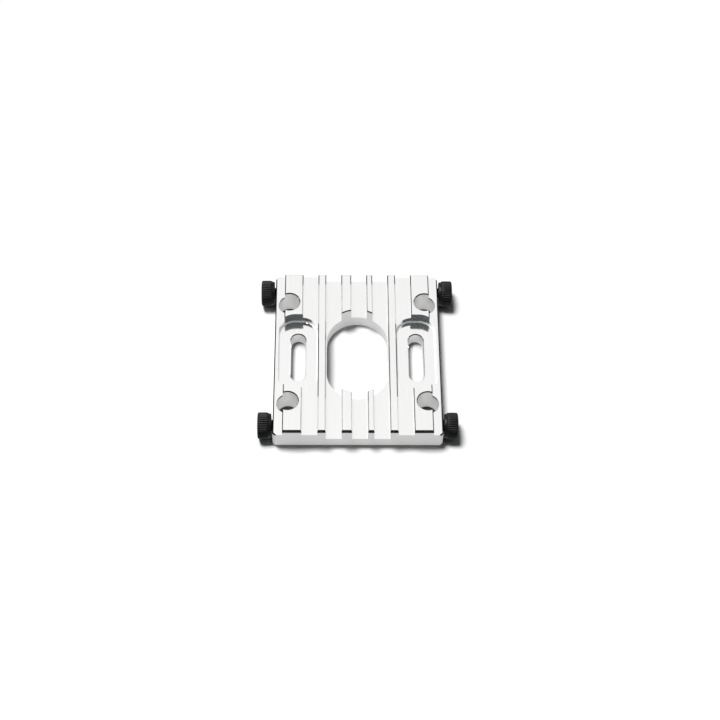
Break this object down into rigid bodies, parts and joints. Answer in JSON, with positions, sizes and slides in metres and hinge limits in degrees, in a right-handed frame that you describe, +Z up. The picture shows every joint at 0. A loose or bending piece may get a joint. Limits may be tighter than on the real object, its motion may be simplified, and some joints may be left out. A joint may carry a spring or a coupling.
{
  "type": "motor mount",
  "caption": "Milled aluminium plate with lengthwise grooves, an oblong boss bore and recessed motor-screw slots, held between side frames by cap screws in its side faces.",
  "frame": {"origin": "centre of the flat underside, the face a motor seats on", "axes": "+X across the plate towards the right pair of screws, +Y along the grooves towards the rear, +Z up from the underside through the grooved face"},
  "size_m": [0.0412, 0.04, 0.0057],
  "materials": {
    "plate": "bright milled",
    "screws": "black oxide, lightly oiled"
  },
  "bodies": {
    "root": {"mount_plate": "plate", "side_screw_front_left": "screws", "side_screw_front_right": "screws", "side_screw_rear_left": "screws", "side_screw_rear_right": "screws"}
  },
  "joints": []
}
